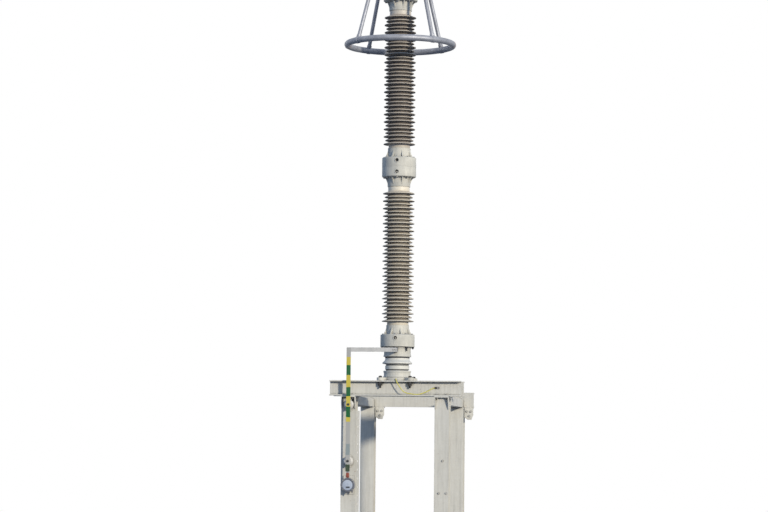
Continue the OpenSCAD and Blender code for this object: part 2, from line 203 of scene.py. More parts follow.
def apply(tree, shader, colour, roughness, normal):
    """Join a finish's colour, roughness and normal to its shader."""
    tree.links.new(colour, shader.inputs["Base Color"])
    tree.links.new(roughness, shader.inputs["Roughness"])
    tree.links.new(normal, shader.inputs["Normal"])


# %% [markdown]
# ## Finishes
#
# The support is galvanised steel that has stood in the rain for years. Zinc goes dull and warm
# grey in patches, its crystals still show as a faint mosaic, water leaves darker upright runs,
# and a few bruised spots and edges have started to rust. The inner corners are darkened as
# painted shade. One even grey would look like plastic, so the layers are mixed one over the other.

# %% Galvanised steel
def galvanised(name, light, dull, rust_share):
    """Zinc from light to dull, then runs, a crystal mosaic, rusty spots and edges, and painted shade in
    corners.
    """
    material, tree, shader, place = finish(name, gloss=0.3)
    patch = use(tree, patches, place, 2.6)
    run = use(tree, runs, place, 38.0)
    crystal = add(tree, "TexVoronoi", {"Vector": place, "Scale": 70.0})
    mosaic = add(tree, "SeparateColor", {0: crystal.outputs["Color"]}).outputs[0]
    colour = mix(tree, combine(tree, "MULTIPLY", patch, 0.55), light, dull)
    colour = mix(tree, combine(tree, "MULTIPLY", run, 0.4), colour, tuple(0.62 * c for c in dull))
    colour = mix(tree, combine(tree, "MULTIPLY", mosaic, 0.08), colour, (0.85, 0.86, 0.86))
    rim = add(tree, "Attribute", attribute_name="edge").outputs["Fac"]
    chipped = combine(tree, "MULTIPLY", rim, use(tree, patches, place, 14.0))
    rust = combine(tree, "MULTIPLY", use(tree, spots, place, 19.0), use(tree, patches, place, 1.3))
    rust = combine(tree, "MAXIMUM", rust, combine(tree, "MULTIPLY", chipped, 0.5))
    colour = mix(tree, combine(tree, "MULTIPLY", rust, rust_share), colour, (0.21, 0.105, 0.05))
    # Painted shade: ambient occlusion darkens the inner corners, such as the web under a beam's flange.
    corner = add(tree, "AmbientOcclusion", {"Distance": 0.05}, samples=6, inside=False).outputs["AO"]
    colour = mix(tree, spread(tree, corner, 0.7, 0.38, 0.0, 0.9), colour, tuple(0.1 * c for c in dull))
    roughness = spread(tree, patch, 0.0, 1.0, 0.46, 0.68)
    apply(tree, shader, colour, roughness, use(tree, skin, place, 260.0, Depth=0.0006))
    return material


support_steel = galvanised("support_steel", (0.59, 0.575, 0.52), (0.49, 0.475, 0.425), 0.5)
bolt_steel = galvanised("bolt_steel", (0.46, 0.45, 0.42), (0.28, 0.26, 0.22), 0.9)
weld_metal = galvanised("weld_metal", (0.50, 0.48, 0.42), (0.34, 0.31, 0.26), 0.6)
print("steel finishes", [made.name for made in (support_steel, bolt_steel, weld_metal)])

# %% [markdown]
# The end castings are sand-cast aluminium with a pale coat. The skin is coarser than rolled
# metal, and rain has washed grey runs down the drum. The corners where the ribs meet the drum are
# darkened as painted shade.

# %% Coated casting
cast_metal, tree, shader, place = finish("cast_metal", gloss=0.25)
patch = use(tree, patches, place, 5.0)
run = use(tree, runs, place, 55.0)
# Painted shade: ambient occlusion darkens the corners round the ribs and under the drum's rims.
corner = add(tree, "AmbientOcclusion", {"Distance": 0.05}, samples=6, inside=False)
crevice_shade = spread(tree, corner.outputs["AO"], 0.72, 0.36)
colour = mix(tree, combine(tree, "MULTIPLY", patch, 0.75), (0.61, 0.59, 0.52), (0.42, 0.41, 0.365))
colour = mix(tree, combine(tree, "MULTIPLY", run, 0.45), colour, (0.36, 0.35, 0.32))
colour = mix(tree, combine(tree, "MULTIPLY", crevice_shade, 0.9), colour, (0.07, 0.065, 0.06))
rim = add(tree, "Attribute", attribute_name="edge").outputs["Fac"]
worn = combine(tree, "MULTIPLY", rim, use(tree, patches, place, 22.0))
colour = mix(tree, combine(tree, "MULTIPLY", worn, 0.6), colour, (0.55, 0.55, 0.55))
speck = use(tree, spots, place, 60.0)
colour = mix(tree, combine(tree, "MULTIPLY", speck, 0.25), colour, (0.33, 0.29, 0.23))
roughness = spread(tree, patch, 0.0, 1.0, 0.52, 0.7)
apply(tree, shader, colour, roughness, use(tree, skin, place, 150.0, Depth=0.0011))
print("casting finish", len(tree.nodes), "nodes")

# %% [markdown]
# The porcelain has a grey-beige glaze. Its undersides and inner corners are darkened, partly for
# the soot that rain never washes off and partly as painted shade. Ambient occlusion measures how
# closed in a point is, so it finds those corners by itself, and the face's direction finds the
# undersides. Upright faces in the open, which are the rims and the plain necks, are made paler as
# painted light. The upper housing gets a darker glaze than the lower one.

# %% Glazed porcelain
def glazed(name, clean, dusty, soot_and_shade_colour, pale, depth, shut, tight):
    """Two glaze tones in patches, painted light on open upright faces, soot and painted shade underneath and
    where closed in.

    Openness is measured within depth. Soot and painted shade begin where it is below shut and are full at
    tight.
    """
    material, tree, shader, place = finish(name, gloss=0.3)
    closed_in = add(tree, "AmbientOcclusion", {"Distance": depth}, samples=16, inside=False).outputs["AO"]
    face = add(tree, "NewGeometry").outputs["Normal"]
    height = add(tree, "SeparateXYZ", {0: face}).outputs[2]
    upright = spread(tree, add(tree, "Math", {0: height}, operation="ABSOLUTE").outputs[0], 0.55, 0.15)
    patch = use(tree, patches, place, 9.0)
    # Soot and painted shade: faces that look down are darkened.
    beneath = spread(tree, height, -0.25, -0.8, 0.0, 0.8)
    soot_and_shade = combine(tree, "MAXIMUM", spread(tree, closed_in, shut, tight), beneath)
    soot_and_shade = combine(tree, "MULTIPLY", soot_and_shade, spread(tree, patch, 0.0, 1.0, 0.85, 1.0))
    # Painted light: upright faces in the open are made paler.
    painted_light = combine(tree, "MULTIPLY", upright, spread(tree, closed_in, 0.62, 0.9))
    colour = mix(tree, combine(tree, "MULTIPLY", patch, 0.4), clean, dusty)
    colour = mix(tree, painted_light, colour, pale)
    colour = mix(tree, soot_and_shade, colour, soot_and_shade_colour)
    speck = use(tree, spots, place, 75.0)
    colour = mix(tree, combine(tree, "MULTIPLY", speck, 0.15), colour, (0.16, 0.12, 0.08))
    roughness = spread(tree, soot_and_shade, 0.0, 1.0, 0.46, 0.65)
    apply(tree, shader, colour, roughness, use(tree, skin, place, 45.0, Depth=0.0003))
    return material


porcelain = glazed("porcelain", (0.54, 0.475, 0.375), (0.43, 0.37, 0.29), (0.03, 0.026, 0.027),
                   (0.69, 0.64, 0.53), depth=0.06, shut=0.50, tight=0.24)
# The upper housing's glaze is darker, and more of it is darkened in the corners.
upper_porcelain_glaze = glazed("upper_porcelain_glaze", (0.40, 0.345, 0.285), (0.30, 0.255, 0.21), (0.035, 0.03, 0.032),
                         (0.54, 0.50, 0.43), depth=0.06, shut=0.56, tight=0.24)
# The base's grooves are darkened in the same way, with soot and painted shade.
base_ceramic = glazed("base_ceramic", (0.59, 0.59, 0.56), (0.51, 0.51, 0.47), (0.05, 0.05, 0.05),
                      (0.62, 0.61, 0.56), depth=0.03, shut=0.8, tight=0.5)
print("glazes", [made.name for made in (porcelain, upper_porcelain_glaze, base_ceramic)])

# %% [markdown]
# The ring, its rods, the terminal and the lug are bare aluminium. It has oxidised to a soft
# grey, and brushing has left a fine grain. Its slight blue tint is a painted reflection of a blue
# sky. A full metal would mirror little but the white surround, so this finish is less than half
# metallic.

# %% Bare aluminium
bright_metal, tree, shader, place = finish("bright_metal", metallic=0.45, gloss=0.2)
patch = use(tree, patches, place, 7.0)
speck = use(tree, spots, place, 48.0)
# Painted reflection: the grey leans to blue, as if it mirrored a blue sky.
colour = mix(tree, patch, (0.34, 0.355, 0.40), (0.26, 0.272, 0.31))
colour = mix(tree, combine(tree, "MULTIPLY", speck, 0.35), colour, (0.25, 0.24, 0.25))
roughness = spread(tree, patch, 0.0, 1.0, 0.45, 0.6)
apply(tree, shader, colour, roughness, use(tree, skin, place, 330.0, Depth=0.0004))
print("aluminium finish", len(tree.nodes), "nodes")

# %% [markdown]
# The upright earth bar is painted in yellow and green bands by hand, so their edges waver a
# little. Further down the paint has faded or gone, and the bare bar shows. The bands are kept as
# heights over the ground, and a colour ramp with constant steps turns height into paint.

# %% Banded paint
yellow, green, bare = (0.56, 0.46, 0.065), (0.002, 0.105, 0.03), (0.38, 0.38, 0.365)
# The lowest green band is darker than the green higher up.
faint, lowest_green = (0.245, 0.29, 0.30), (0.028, 0.055, 0.03)
bands = [
    (1.380, lowest_green), (1.480, bare), (1.596, faint), (1.724, bare), (1.980, yellow), (2.032, green),
    (2.154, yellow), (2.2765, green), (2.387, yellow), (2.527, green), (2.644, yellow), (2.737, bare),
]
band_low, band_high, band_waver = 1.38, 2.88, 0.008


def banded(name, steps):
    """Paint by height: each (height, colour) pair holds from its height up to the next one."""
    material, tree, shader, place = finish(name, gloss=0.3)
    waver = add(tree, "TexNoise", {"Vector": place, "Scale": 45.0, "Detail": 2.0}).outputs[0]
    height = add(tree, "SeparateXYZ", {0: place}).outputs[2]
    shaken = add(tree, "Math", {0: waver, 1: band_waver, 2: height}, operation="MULTIPLY_ADD").outputs[0]
    share = spread(tree, shaken, band_low + band_waver / 2, band_high + band_waver / 2)
    ramp = add(tree, "ValToRGB", {0: share})
    ramp.color_ramp.interpolation = "CONSTANT"
    stops = ramp.color_ramp.elements
    while len(stops) < len(steps):
        stops.new(1.0)
    for stop, (level, paint) in zip(stops, steps):
        stop.position = (level - band_low) / (band_high - band_low)
        stop.color = (*paint, 1.0)
    patch = use(tree, patches, place, 16.0)
    run = use(tree, runs, place, 90.0)
    speck = combine(tree, "MULTIPLY", use(tree, spots, place, 34.0), patch)
    colour = mix(tree, combine(tree, "MULTIPLY", patch, 0.06), ramp.outputs[0], (0.42, 0.37, 0.26))
    colour = mix(tree, combine(tree, "MULTIPLY", run, 0.14), colour, (0.20, 0.19, 0.15))
    rim = add(tree, "Attribute", attribute_name="edge").outputs["Fac"]
    bared = combine(tree, "MAXIMUM", speck, combine(tree, "MULTIPLY", rim, patch))
    colour = mix(tree, combine(tree, "MULTIPLY", bared, 0.7), colour, (0.36, 0.35, 0.33))
    roughness = spread(tree, patch, 0.0, 1.0, 0.3, 0.55)
    apply(tree, shader, colour, roughness, use(tree, skin, place, 140.0, Depth=0.0006))
    return material


bar_paint = banded("bar_paint", bands)
print("paint bands", len(bands), "from", bands[0][0], "to", bands[-1][0])

# %% [markdown]
# The standoff insulators are cast pale grey resin, the counter has a dark enamelled rim round a
# pale face, and the boot on its terminal is red-brown rubber. The level earth bar is tinned and
# pale. Greased nuts are made almost black, partly for the grease and partly as painted shade.
# Small parts get the same care, because they are what a close view shows. They need no layers of
# their own, so one function serves them all.

# %% Resin, enamel, rubber and the dial
def plain_coat(name, light, dark, marks, rough, coat, scale):
    """Two close tones in patches, with small marks and a fine skin."""
    material, tree, shader, place = finish(name, coat=coat)
    patch = use(tree, patches, place, scale)
    run = use(tree, runs, place, 8.0 * scale)
    speck = use(tree, spots, place, 6.0 * scale)
    colour = mix(tree, patch, light, dark)
    colour = mix(tree, combine(tree, "MULTIPLY", run, 0.25), colour, tuple(0.5 * c for c in dark))
    colour = mix(tree, combine(tree, "MULTIPLY", speck, 0.35), colour, marks)
    rim = add(tree, "Attribute", attribute_name="edge").outputs["Fac"]
    colour = mix(tree, combine(tree, "MULTIPLY", combine(tree, "MULTIPLY", rim, patch), 0.5), colour, marks)
    roughness = spread(tree, patch, 0.0, 1.0, rough, rough + 0.15)
    apply(tree, shader, colour, roughness, use(tree, skin, place, 20.0 * scale, Depth=0.0005))
    return material


standoff_resin = plain_coat("standoff_resin", (0.57, 0.56, 0.53), (0.48, 0.455, 0.41), (0.25, 0.20, 0.13),
                            rough=0.3, coat=0.3, scale=14.0)
counter_paint = plain_coat("counter_paint", (0.13, 0.14, 0.17), (0.09, 0.10, 0.13), (0.30, 0.29, 0.27),
                           rough=0.35, coat=0.3, scale=18.0)
dial_face = plain_coat("dial", (0.45, 0.50, 0.59), (0.36, 0.41, 0.50), (0.22, 0.25, 0.30),
                       rough=0.3, coat=0.4, scale=30.0)
window_dark = plain_coat("window_dark", (0.05, 0.055, 0.07), (0.03, 0.035, 0.05), (0.12, 0.12, 0.12),
                         rough=0.15, coat=0.8, scale=40.0)
boot_rubber = plain_coat("boot_rubber", (0.26, 0.06, 0.035), (0.20, 0.045, 0.03), (0.12, 0.05, 0.04),
                         rough=0.5, coat=0.0, scale=24.0)
wire_green = plain_coat("wire_green", (0.68, 0.58, 0.10), (0.52, 0.50, 0.09), (0.12, 0.22, 0.05),
                        rough=0.45, coat=0.0, scale=30.0)
# Partly painted shade: this steel is made near-black to stand for nuts that lie in shade.
greased_shaded_steel = plain_coat("greased_shaded_steel", (0.045, 0.045, 0.047), (0.028, 0.028, 0.03), (0.13, 0.10, 0.07),
                           rough=0.45, coat=0.0, scale=26.0)
tinned_bar = plain_coat("tinned_bar", (0.55, 0.54, 0.52), (0.46, 0.455, 0.44), (0.30, 0.28, 0.25),
                        rough=0.4, coat=0.0, scale=12.0)
seal_compound = plain_coat("seal_compound", (0.055, 0.055, 0.06), (0.035, 0.035, 0.04), (0.12, 0.11, 0.10),
                           rough=0.5, coat=0.0, scale=16.0)
seam_tint = plain_coat("seam_tint", (0.42, 0.28, 0.24), (0.33, 0.24, 0.22), (0.20, 0.14, 0.12),
                       rough=0.4, coat=0.0, scale=20.0)

# %% [markdown]
# The CAD pieces and their softened copies wear these finishes too, and the record names each
# one's material slot. The level earth bar is tinned, so it alone gets a finish of its own.

# %% Finishes for the CAD pieces
finishes = {
    "support_steel": support_steel, "cast_metal": cast_metal, "porcelain": porcelain,
    "base_ceramic": base_ceramic, "bright_metal": bright_metal, "bar_paint": bar_paint,
    "standoff_resin": standoff_resin, "counter_paint": counter_paint, "dial": dial_face,
}
special = {"earth_bar_across": tinned_bar}
node_slot = {part["node"]: part["material_slot"] for part in frame["record"]["subparts"]}
for name, slot_name in node_slot.items():
    nodes[name].data.materials.clear()
    nodes[name].data.materials.append(special.get(name, finishes[slot_name]))
print("finishes", len(bpy.data.materials))

# %% [markdown]
# ## Shapes from arrays
#
# Most new pieces are surfaces of two parameters: a profile turned round an axis, or a circle
# carried along a path. The helpers work on whole arrays, and the caps close every end. Blender's
# own screw and curve tools make such surfaces too, but here every size stays in view.

# %% Surface helpers
def quads(rows, count, closed):
    """Corner numbers of the quads between neighbouring rings of count points."""
    last = rows if closed else rows - 1
    i, k = np.meshgrid(np.arange(last), np.arange(count), indexing="ij")
    j, n = (i + 1) % rows, (k + 1) % count
    return np.stack([i * count + k, i * count + n, j * count + n, j * count + k], -1).reshape(-1, 4).tolist()


def caps(rows, count):
    """One face over the first ring, turned to look down, and one over the last."""
    return [list(range(count))[::-1], list(range((rows - 1) * count, rows * count))]


def turn(profile, count=96):
    """Rows (r, z) from bottom to top, turned round Z: p = (r cos u, r sin u, z), u = 2 pi k / count."""
    r, z = np.asarray(profile, float).T
    u = np.linspace(0, 2 * np.pi, count, endpoint=False)
    points = np.stack([np.outer(r, np.cos(u)), np.outer(r, np.sin(u)), np.outer(z, np.ones(count))], -1)
    return points.reshape(-1, 3), quads(len(r), count, False) + caps(len(r), count)


def tube(path, radius, count=16, closed=False):
    """A circle carried along a path: p = c(s) + radius(s) (a cos u + b sin u), with a, b across the path."""
    path = np.asarray(path, float)
    if closed:
        ahead = np.roll(path, -1, 0) - np.roll(path, 1, 0)
    else:
        ahead = np.gradient(path, axis=0)
    ahead /= np.linalg.norm(ahead, axis=1)[:, None]
    up = np.array([0.0, 0.0, 1.0]) if np.abs(ahead[:, 2]).max() < 0.95 else np.array([0.35, 0.9, 0.2])
    across = np.cross(up, ahead)
    across /= np.linalg.norm(across, axis=1)[:, None]
    other = np.cross(ahead, across)
    u = np.linspace(0, 2 * np.pi, count, endpoint=False)
    radius = np.broadcast_to(np.asarray(radius, float), len(path))[:, None, None]
    ring = across[:, None] * np.cos(u)[None, :, None] + other[:, None] * np.sin(u)[None, :, None]
    points = path[:, None] + radius * ring
    ends = [] if closed else caps(len(path), count)
    return points.reshape(-1, 3), quads(len(path), count, closed) + ends


def rounded(corners, cuts, steps=4):
    """Round a profile's inner corners C: (1-t)^2 A + 2t(1-t) C + t^2 B, A and B a cut away on the sides."""
    c = np.asarray(corners, float)
    back, on = c[:-2] - c[1:-1], c[2:] - c[1:-1]
    back_l, on_l = np.linalg.norm(back, axis=1), np.linalg.norm(on, axis=1)
    cut = np.minimum(np.broadcast_to(cuts, len(back)), 0.48 * np.minimum(back_l, on_l))
    a, b = c[1:-1] + back * (cut / back_l)[:, None], c[1:-1] + on * (cut / on_l)[:, None]
    t = np.linspace(0, 1, steps)[None, :, None]
    arcs = (1 - t) ** 2 * a[:, None] + 2 * t * (1 - t) * c[1:-1][:, None] + t**2 * b[:, None]
    return np.concatenate([c[:1], arcs.reshape(-1, 2), c[-1:]])


# %% [markdown]
# A shape is drawn round the Z axis and then stood where it belongs, so the same bolt serves every
# flange. Its place goes into the mesh and its object stays at the origin, like a CAD node's.

# %% Placing a shape and making a piece
upward, downward, to_front = (0, 0, 1), (0, 0, -1), (0, -1, 0)
triangles = {}


def stand(shape, base, axis=upward):
    """Turn a shape from the Z axis to another axis and set it on base: p = base + x a + y b + z axis."""
    points, faces = shape
    axis = np.asarray(axis, float) / np.linalg.norm(axis)
    across = np.cross([0.0, 1.0, 0.0] if abs(axis[1]) < 0.9 else [0.0, 0.0, 1.0], axis)
    across /= np.linalg.norm(across)
    return np.asarray(base, float) + points @ np.array([across, np.cross(axis, across), axis]), faces


def gather(shapes):
    """Several shapes as one, with their corner numbers moved along."""
    points, faces, start = [], [], 0
    for more, rows in shapes:
        points.append(more)
        faces += [[corner + start for corner in row] for row in rows]
        start += len(more)
    return np.concatenate(points), faces


def piece(name, shape, material, stands_for=(), smooth=40.0):
    """A mesh piece that rides on the fixed body, smooth where its faces turn by less than smooth degrees."""
    points, faces = shape
    mesh = bpy.data.meshes.new(name)
    mesh.from_pydata(points.tolist(), [], faces)
    mesh.validate()
    mesh.shade_smooth()
    mesh.set_sharp_from_angle(angle=math.radians(smooth))
    mesh.materials.append(material)
    made = bpy.data.objects.new(name, mesh)
    bpy.context.scene.collection.objects.link(made)
    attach(made, "root")
    if stands_for:
        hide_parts(*stands_for)
    triangles[name] = sum(len(face) - 2 for face in faces)
    return made


# %% [markdown]
# ## The loose wire
#
# A yellow-green bonding wire joins the column's foot to the front beam. With its jacket it is
# 11 mm thick. It leaves the foot plate's edge, hangs in front of the beam's flange and ends in a
# lug that is bolted to the web. A smooth curve through a few points is cut into short steps.

# %% Bonding wire
def curve_through(points, steps=7):
    """Catmull-Rom: each span is 0.5 (2P1 + (P2-P0)t + (2P0-5P1+4P2-P3)t^2 + (3P1-P0-3P2+P3)t^3)."""
    p = np.asarray(points, float)
    p = np.concatenate([[2 * p[0] - p[1]], p, [2 * p[-1] - p[-2]]])
    t = np.linspace(0, 1, steps, endpoint=False)[None, :, None]
    a, b, c, d = (p[i:len(p) - 3 + i, None] for i in range(4))
    spans = 0.5 * (2 * b + (c - a) * t + (2 * a - 5 * b + 4 * c - d) * t**2 + (3 * b - a - 3 * c + d) * t**3)
    return np.concatenate([spans.reshape(-1, 3), p[-2:-1]])


wire_d = 0.011
wire_path = curve_through([
    (0.012, -0.923, 2.489), (0.018, -0.934, 2.470), (0.034, -0.937, 2.436), (0.058, -0.937, 2.398),
    (0.100, -0.934, 2.345), (0.147, -0.931, 2.323), (0.194, -0.927, 2.315), (0.241, -0.922, 2.309),
    (0.300, -0.913, 2.314), (0.382, -0.895, 2.346), (0.430, -0.883, 2.374), (0.462, -0.876, 2.387),
])
wire = piece("bonding_wire", tube(wire_path, wire_d / 2, 14), wire_green)

# %% [markdown]
# ## Porcelain housings
#
# Each housing carries 35 sheds, a large and a small one in turn, so that rain can't bridge the
# whole length. A shed slopes down to a rounded rim with a drip edge. One profile of all sheds is
# made from four corners each, the corners are rounded, and the whole is turned round the axis.
# Separate sheds in an array would be quicker to set up, but each would end in a seam at the core.

# %% Housings
core_r, large_r, small_r = 0.127, 0.1875, 0.168
shed_step, neck, housing_l, socket = 0.04435, 0.041, 1.632, 0.0617
shed_h, underside_rise, rim_t, top_rise = 0.031, 0.0085, 0.008, 0.029
shed_count = int((housing_l - 2 * neck - shed_h) // shed_step) + 1
z = neck + shed_step * np.arange(shed_count)
rim = np.where(np.arange(shed_count) % 2 == 0, large_r, small_r)
core = np.full(shed_count, core_r)
sheds = np.stack([
    np.stack([core, z + underside_rise], -1), np.stack([rim, z], -1),
    np.stack([rim, z + rim_t], -1), np.stack([core, z + top_rise], -1),
], 1).reshape(-1, 2)
cuts = np.tile([0.008, 0.0039, 0.0039, 0.011], shed_count)
housing_profile = rounded(
    np.concatenate([[[core_r, -socket]], sheds, [[core_r, housing_l + socket]]]), cuts, 4
)
for name, bottom, glaze in (("lower_housing", 3.125, porcelain), ("upper_housing", 5.219, upper_porcelain_glaze)):
    shape = stand(turn(housing_profile, 120), (column_x, column_y, bottom))
    piece(name.replace("housing", "porcelain"), shape, glaze, [name], 60.0)
print("sheds", shed_count, "profile rows", len(housing_profile), "triangles", triangles["lower_porcelain"])

# %% [markdown]
# The insulating base is a squat glazed body with one wide shed and two grooves, and it is turned
# from its corners in the same way as a housing. A band of dark sealing compound closes the joint
# between the base and the collar above it.

# %% Insulating base
base_r, base_shed_r, base_h, base_bottom = 0.142, 0.175, 0.164, 2.588
groove_r = base_r - 0.009
base_profile = rounded([
    (groove_r, 0), (groove_r, 0.07 * base_h), (base_r, 0.10 * base_h), (base_r, 0.36 * base_h),
    (groove_r, 0.39 * base_h), (groove_r, 0.46 * base_h), (base_shed_r, 0.50 * base_h),
    (base_shed_r, 0.59 * base_h), (base_r + 0.006, 0.74 * base_h), (base_r, 0.82 * base_h), (base_r, base_h),
], 0.0035, 5)
base_shape = stand(turn(base_profile, 128), (column_x, column_y, base_bottom))
piece("base_body", base_shape, base_ceramic, ["base_insulator"], 60.0)
seal_profile = [(0.1415, -0.0170), (0.1440, -0.0160), (0.1455, -0.0120), (0.1455, -0.0003)]
seal = stand(turn(seal_profile, 128), (column_x, column_y, base_bottom + base_h))
piece("base_seal", seal, seal_compound, smooth=50.0)
print("base triangles", triangles["base_body"], "seal triangles", triangles["base_seal"])

# %% [markdown]
# Two standoff insulators keep the earth bar off the post. Each is a small ribbed resin drum. It is
# turned from its corners as well and then laid on its side, so that its axis points to the front.

# %% Standoffs
bar_x, strap_front, bar_front = -0.538, -0.878, -0.988
standoff_r, standoff_l = 0.056, 0.102
standoff_heights = {"standoff_high": 2.185, "standoff_low": 1.525}
waist_r = 0.7 * standoff_r
standoff_profile = rounded([
    (waist_r, 0), (waist_r, 0.15 * standoff_l), (standoff_r, 0.25 * standoff_l),
    (standoff_r, 0.35 * standoff_l), (waist_r, 0.45 * standoff_l), (waist_r, 0.55 * standoff_l),
    (standoff_r, 0.65 * standoff_l), (standoff_r, 0.75 * standoff_l), (waist_r, 0.85 * standoff_l),
    (waist_r, standoff_l),
], 0.004, 5)
for name, height in standoff_heights.items():
    shape = stand(turn(standoff_profile, 72), (bar_x, strap_front, height), to_front)
    piece(name + "_resin", shape, standoff_resin, [name], 60.0)
print("standoffs", len(standoff_heights), "triangles each", triangles["standoff_low_resin"])

# %% [markdown]
# ## Grading ring and its rods
#
# The ring is a bent aluminium tube, closed by two welds. Four rods hang it below the head's arms,
# and a band round the tube holds each rod. A ring's surface is
# ((R + q cos v) cos u, (R + q cos v) sin u, q sin v), and the same formula, with q from a small
# closed profile and u near one angle, gives the bands and the weld seams. Blender's torus would do
# for the tube, but not for the bands.

# %% Ring
ring_r, tube_r, ring_z = 0.6255, 0.0365, 6.450
ring_centre = np.array([column_x, column_y, ring_z])


def on_ring(u, q, v):
    """A point at angle u round the ring, at distance q from the tube's middle and angle v round the tube."""
    reach = ring_r + q * np.cos(v)
    return np.stack([reach * np.cos(u), reach * np.sin(u), q * np.sin(v)], -1) + ring_centre


u = np.linspace(0, 2 * np.pi, 240, endpoint=False)
v = np.linspace(0, 2 * np.pi, 48, endpoint=False)
ring_points = on_ring(u[None, :] + 0 * v[:, None], tube_r, v[:, None] + 0 * u[None, :])
ring_shape = ring_points.reshape(-1, 3), quads(len(v), len(u), True)
piece("ring_tube", ring_shape, bright_metal, ["grading_ring"], 60.0)
print("ring triangles", triangles["ring_tube"])

# %% [markdown]
# A band is a flat strip with slanted edges, bent round the tube, and a seam is a low bead of the
# same kind. Both profiles dip slightly into the tube, so that no gap shows along their edges.

# %% Bands and seams
def collar_on_ring(angle, along, across, count=48):
    """A band round the tube, from a closed profile of offsets along the ring and out from the tube."""
    v = np.linspace(0, 2 * np.pi, count, endpoint=False)
    offsets, distances = np.asarray(along), np.asarray(across)
    u = angle + offsets[None, :] / ring_r + 0 * v[:, None]
    points = on_ring(u, tube_r + distances[None, :] + 0 * v[:, None], v[:, None] + 0 * u)
    return points.reshape(-1, 3), quads(count, len(offsets), True)


rod_angles = {
    "front_left": math.radians(-135), "front_right": math.radians(-45),
    "back_left": math.radians(135), "back_right": math.radians(45),
}
band_half, band_t, band_sunk = 0.022, 0.004, 0.001
band_along = [-band_half, band_half, band_half, band_half - 0.002, -band_half + 0.002, -band_half]
band_across = [-band_sunk, -band_sunk, band_t - 0.0015, band_t, band_t, band_t - 0.0015]
bands_shape = gather([collar_on_ring(a, band_along, band_across) for a in rod_angles.values()])
piece("ring_bands", bands_shape, bright_metal, smooth=30.0)

seam_half, seam_t = 0.006, 0.0025
bead = np.linspace(0, 2 * np.pi, 10, endpoint=False)
seam_along, seam_across = seam_half * np.cos(bead), seam_t * np.sin(bead)
seams_shape = gather([collar_on_ring(a, seam_along, seam_across) for a in (0.0, math.pi)])
piece("ring_seams", seams_shape, seam_tint)
print("bands", len(rod_angles), "band triangles", triangles["ring_bands"])

# %% [markdown]
# A rod starts under the end of an arm and leans outwards to the ring. Its top is cut level, a
# hair below the arm, and a short ferrule sits on its lower end.

# %% Hanger rods
arm_reach, plate_top, arm_underside, arm_top, hair = 0.430, 7.104, 7.093, 7.120, 0.0003
rod_r, rod_sides = 0.0225, 40
for name, a in rod_angles.items():
    outward = np.array([math.cos(a), math.sin(a), 0.0])
    top = ring_centre * [1, 1, 0] + outward * arm_reach + [0, 0, plate_top]
    end = ring_centre + outward * ring_r
    lean = (end - top) / np.linalg.norm(end - top)
    t = np.linspace(0, 1, 24)[:, None]
    reach = np.linalg.norm(end - top) - tube_r
    rod = tube(top + lean * reach * t, rod_r, rod_sides)
    rim = rod[0][:rod_sides]
    rod[0][:rod_sides] = rim + lean * ((arm_underside - hair - rim[:, 2:]) / lean[2])
    ferrule_steps = np.array([[reach - 0.03], [reach - 0.028], [reach - 0.002], [reach + 0.002]])
    ferrule_radii = [rod_r + 0.001, rod_r + 0.005, rod_r + 0.005, rod_r + 0.003]
    ferrule = tube(top + lean * ferrule_steps, ferrule_radii, rod_sides)
    piece("hanger_" + name, gather([rod, ferrule]), bright_metal, ["ring_rod_" + name], 35.0)
print("rods", len(rod_angles), "triangles each", triangles["hanger_front_left"])

# %% [markdown]
# ## Rounded edges
#
# Rolled and cast metal has no knife edges. A copy of each CAD solid gets its sharp edges cut back
# by a millimetre or two. The copy's loose triangles are joined first, and the new strips are
# marked, so that the finishes can wear them. A Bevel modifier cuts such edges too, but bmesh
# hands back the new faces, and so they can be marked.

# %% Rounded copies
same_point, flat_turn, shading_turn = 2e-5, 0.5, 22


def soften(node, width, angle=25.0):
    """A copy of a CAD node whose edges that turn by more than angle degrees become strips of that width."""
    mesh = nodes[node].data.copy()
    mesh.name = node + "_soft"
    work = bmesh.new()
    work.from_mesh(mesh)
    bmesh.ops.remove_doubles(work, verts=work.verts, dist=same_point)
    bmesh.ops.dissolve_limit(work, angle_limit=math.radians(flat_turn), verts=work.verts, edges=work.edges)
    marks = work.faces.layers.float.new("edge")
    sharp = [e for e in work.edges if e.is_manifold and e.calc_face_angle() > math.radians(angle)]
    strips = bmesh.ops.bevel(work, geom=sharp, offset=width, offset_type="OFFSET", segments=2,
                             profile=0.5, affect="EDGES", clamp_overlap=True)
    for face in strips["faces"]:
        face[marks] = 1.0
    bmesh.ops.triangulate(work, faces=[f for f in work.faces if len(f.verts) > 4])
    open_edges = sum(1 for e in work.edges if not e.is_manifold)
    work.to_mesh(mesh)
    work.free()
    mesh.shade_smooth()
    mesh.set_sharp_from_angle(angle=math.radians(shading_turn))
    mesh.materials.clear()
    mesh.materials.append(special.get(node, finishes[node_slot[node]]))
    soft = bpy.data.objects.new(node + "_soft", mesh)
    bpy.context.scene.collection.objects.link(soft)
    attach(soft, "root")
    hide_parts(node)
    triangles[soft.name] = sum(len(face.vertices) - 2 for face in mesh.polygons)
    return open_edges, len(strips["faces"])


edge_widths = {
    0.0015: ["post_front_left", "post_front_right", "post_back_left", "post_back_right", "side_beam_left",
             "side_beam_right", "beam_front", "beam_rear", "beam_back", "bracket_left", "bracket_right"],
    0.0025: ["foot_plate", "collar_low", "collar_high", "top_plate"],
    0.0012: ["lower_foot_casting", "lower_head_casting", "upper_foot_casting", "upper_head_casting",
             "line_terminal", "bar_lug", "earth_bar_across", "earth_bar_down", "strap_high", "strap_low",
             "counter_strap", "counter_case", "counter_lead"],
    0.0006: ["counter_dial"],
}
for width, group in edge_widths.items():
    print(width, [(name, *soften(name, width)) for name in group])

# %% [markdown]
# ## Bolts
#
# Every joint is bolted. A bolt is a washer, a hexagonal head with a turned crown, and a nut where
# its far end shows. One function makes a whole set from the places of its heads, and a set is one
# piece, because its bolts never move apart.

